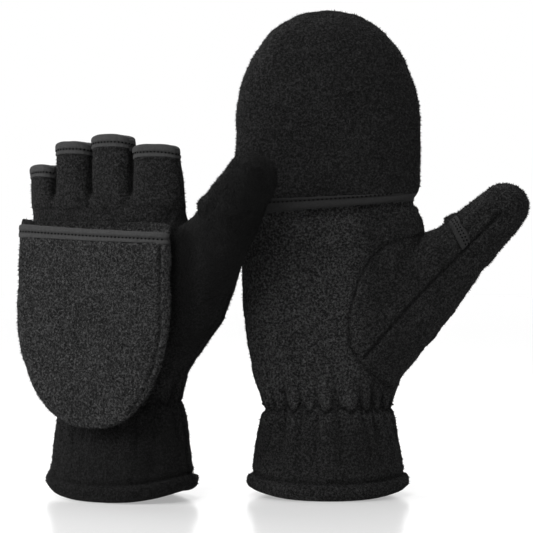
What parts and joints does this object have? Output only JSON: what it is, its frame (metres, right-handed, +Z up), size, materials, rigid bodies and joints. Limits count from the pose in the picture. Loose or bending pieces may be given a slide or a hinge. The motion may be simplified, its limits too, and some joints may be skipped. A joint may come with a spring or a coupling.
{
  "type": "convertible flip-top mittens",
  "caption": "Pair of fleece half-finger gloves with fold-over mitten caps and flip thumb caps, bound openings, gathered wrists and flared hemmed cuffs.",
  "frame": {"origin": "middle of the pair's footprint on the surface it stands on", "axes": "+X from the left glove to the right one, +Y away from the viewer, +Z up"},
  "size_m": [0.2868, 0.087, 0.266],
  "materials": {
    "fleece": "brushed matte fleece",
    "tape": "folded knit tape, matte",
    "elastic": "woven elastic, matte"
  },
  "bodies": {
    "gloves": {"right_palm_panel": "fleece", "right_back_panel": "fleece", "right_cuff_hem": "fleece", "right_wrist_elastic": "elastic", "right_little_stall": "fleece", "right_little_binding": "tape", "right_ring_stall": "fleece", "right_ring_binding": "tape", "right_middle_stall": "fleece", "right_middle_binding": "tape", "right_index_stall": "fleece", "right_index_binding": "tape", "right_thumb_outer_panel": "fleece", "right_thumb_pad_panel": "fleece", "left_palm_panel": "fleece", "left_back_panel": "fleece", "left_cuff_hem": "fleece", "left_wrist_elastic": "elastic", "left_little_stall": "fleece", "left_little_binding": "tape", "left_ring_stall": "fleece", "left_ring_binding": "tape", "left_middle_stall": "fleece", "left_middle_binding": "tape", "left_index_stall": "fleece", "left_index_binding": "tape", "left_thumb_outer_panel": "fleece", "left_thumb_pad_panel": "fleece"},
    "right_flip_cap": {"right_cap_back_panel": "fleece"},
    "right_cap_front": {"right_cap_palm_panel": "fleece", "right_cap_binding": "tape"},
    "right_thumb_flip": {"right_thumb_cap": "fleece", "right_thumb_cap_binding": "tape"},
    "left_flip_cap": {"left_cap_back_panel": "fleece"},
    "left_cap_front": {"left_cap_palm_panel": "fleece", "left_cap_binding": "tape"},
    "left_thumb_flip": {"left_thumb_cap": "fleece", "left_thumb_cap_binding": "tape"}
  },
  "joints": [
    {"name": "right_cap_flip", "type": "hinge", "parent": "gloves", "child": "right_flip_cap", "pos_m": [0.03286, 0.03019, 0.1515], "axis": [-1, 0, 0], "range_deg": [0, 174]},
    {"name": "right_cap_pocket", "type": "hinge", "parent": "right_flip_cap", "child": "right_cap_front", "pos_m": [0.03286, 0.01353, 0.266], "axis": [1, 0, 0], "range_deg": [0, 12], "deforming": ["right_cap_palm_panel", "right_cap_binding"]},
    {"name": "right_thumb_flip", "type": "hinge", "parent": "gloves", "child": "right_thumb_flip", "pos_m": [0.10939, 0.02713, 0.13753], "axis": [-0.7071, 0, 0.7071], "range_deg": [0, 110]},
    {"name": "left_cap_flip", "type": "hinge", "parent": "gloves", "child": "left_flip_cap", "pos_m": [-0.09379, -0.00745, 0.1515], "axis": [-0.8988, 0.4384, 0], "range_deg": [0, 174]},
    {"name": "left_cap_pocket", "type": "hinge", "parent": "left_flip_cap", "child": "left_cap_front", "pos_m": [-0.1007, -0.0216, 0.03802], "axis": [0.8988, -0.4384, 0], "range_deg": [0, 12], "deforming": ["left_cap_palm_panel", "left_cap_binding"]},
    {"name": "left_thumb_flip", "type": "hinge", "parent": "gloves", "child": "left_thumb_flip", "pos_m": [-0.02787, -0.03614, 0.14864], "axis": [0.7553, -0.3571, -0.5495], "range_deg": [0, 110]}
  ],
  "couplings": [
    {"joint": "right_cap_pocket", "follows": "right_cap_flip", "ratio": 0.068966},
    {"joint": "left_cap_pocket", "follows": "left_cap_flip", "ratio": 0.068966}
  ]
}
